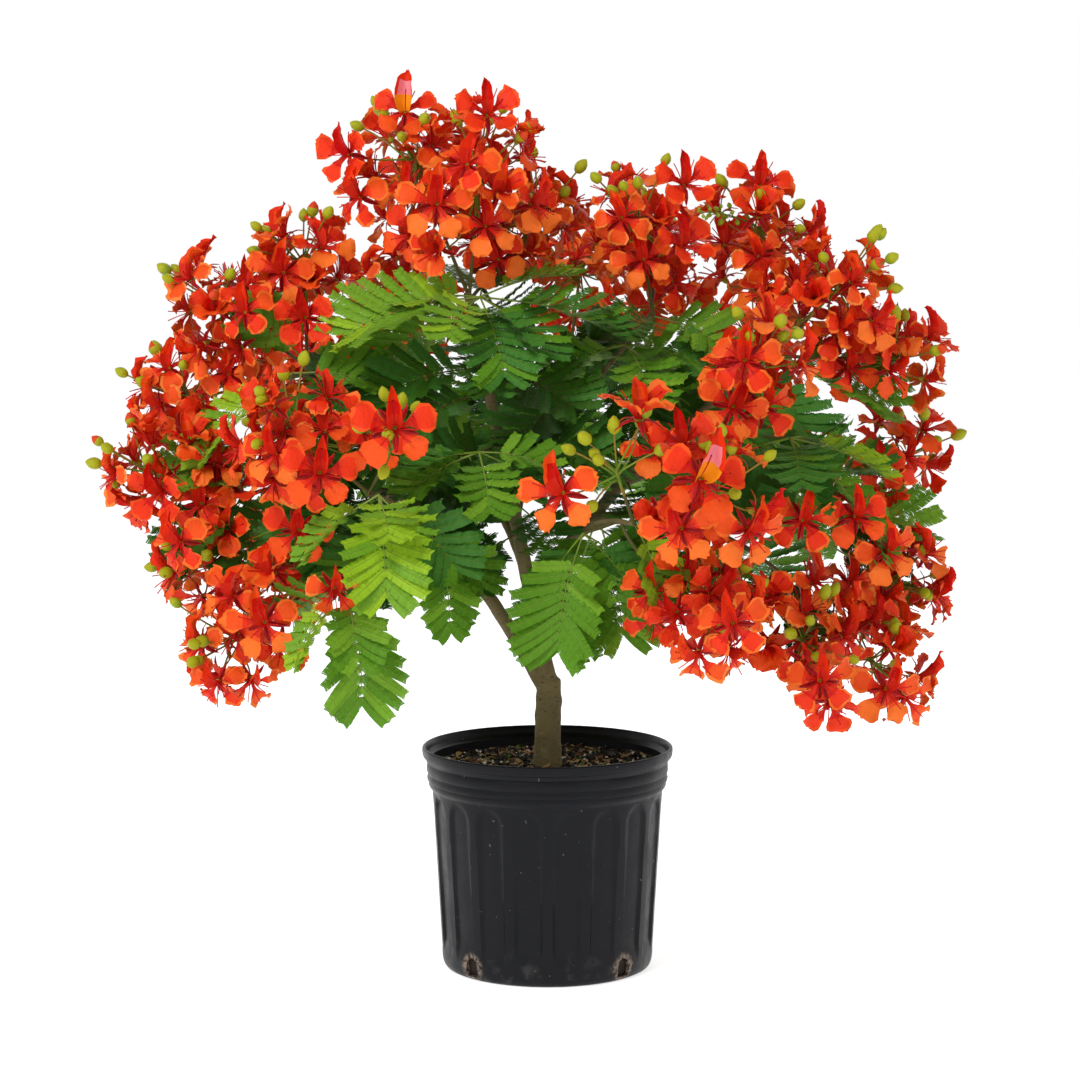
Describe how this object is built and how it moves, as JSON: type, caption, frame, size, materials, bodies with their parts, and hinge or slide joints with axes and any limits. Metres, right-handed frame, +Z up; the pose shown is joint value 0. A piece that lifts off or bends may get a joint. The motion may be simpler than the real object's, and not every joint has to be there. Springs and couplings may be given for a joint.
{
  "type": "royal poinciana sapling",
  "caption": "Flowering royal poinciana sapling with a forked trunk, arching boughs, feathery fronds and scarlet blossom, in a ribbed black nursery pot.",
  "frame": {"origin": "centre of the pot's flat underside, on the surface the pot stands on", "axes": "+Z up along the pot's axis, -Y towards the front of the plant, +X to the viewer's right"},
  "size_m": [0.9879, 0.8356, 0.9951],
  "materials": {
    "pot": "black moulded polyethylene with a satin sheen and light dust",
    "soil": "dark bark-based potting mix with white perlite specks",
    "bark": "grey-brown young bark with pale pores and fine ridges",
    "leaf": "soft satin green, from blue-green to yellow-green",
    "blossom": "scarlet to orange-red petals with a soft velvety sheen"
  },
  "bodies": {
    "root": {"blossom_back_left_out": "blossom", "blossom_back_left_up": "blossom", "blossom_back_low": "blossom", "blossom_back_mid_up": "blossom", "blossom_back_right_low": "blossom", "blossom_back_right_up": "blossom", "blossom_centre_back": "blossom", "blossom_front": "blossom", "blossom_front_left": "blossom", "blossom_front_left_single": "blossom", "blossom_front_low": "blossom", "blossom_front_right": "blossom", "blossom_front_right_up": "blossom", "blossom_left_foot": "blossom", "blossom_left_low": "blossom", "blossom_left_outer": "blossom", "blossom_left_shoulder": "blossom", "blossom_left_tip": "blossom", "blossom_right_far": "blossom", "blossom_right_foot": "blossom", "blossom_right_low": "blossom", "blossom_right_outer": "blossom", "blossom_right_outer_low": "blossom", "blossom_right_shoulder": "blossom", "blossom_top_back": "blossom", "blossom_top_front": "blossom", "blossom_top_left": "blossom", "blossom_upper_left": "blossom", "blossom_upper_mid": "blossom", "blossom_upper_right": "blossom", "bough_back_left": "bark", "bough_back_low": "bark", "bough_back_mid": "bark", "bough_back_right": "bark", "bough_front_left": "bark", "bough_front_right": "bark", "bough_left_high": "bark", "bough_left_low": "bark", "bough_left_out": "bark", "bough_mid": "bark", "bough_right_front": "bark", "bough_right_high": "bark", "bough_right_low": "bark", "bough_right_mid": "bark", "leader": "bark", "leaves_back_left": "leaf", "leaves_back_mid": "leaf", "leaves_back_right": "leaf", "leaves_front": "leaf", "leaves_front_left": "leaf", "leaves_left": "leaf", "leaves_left_hang": "leaf", "leaves_low_left": "leaf", "leaves_low_right": "leaf", "leaves_right": "leaf", "leaves_top": "leaf", "leaves_up_right": "leaf", "pot": "pot", "soil": "soil", "trunk": "bark"}
  },
  "joints": []
}
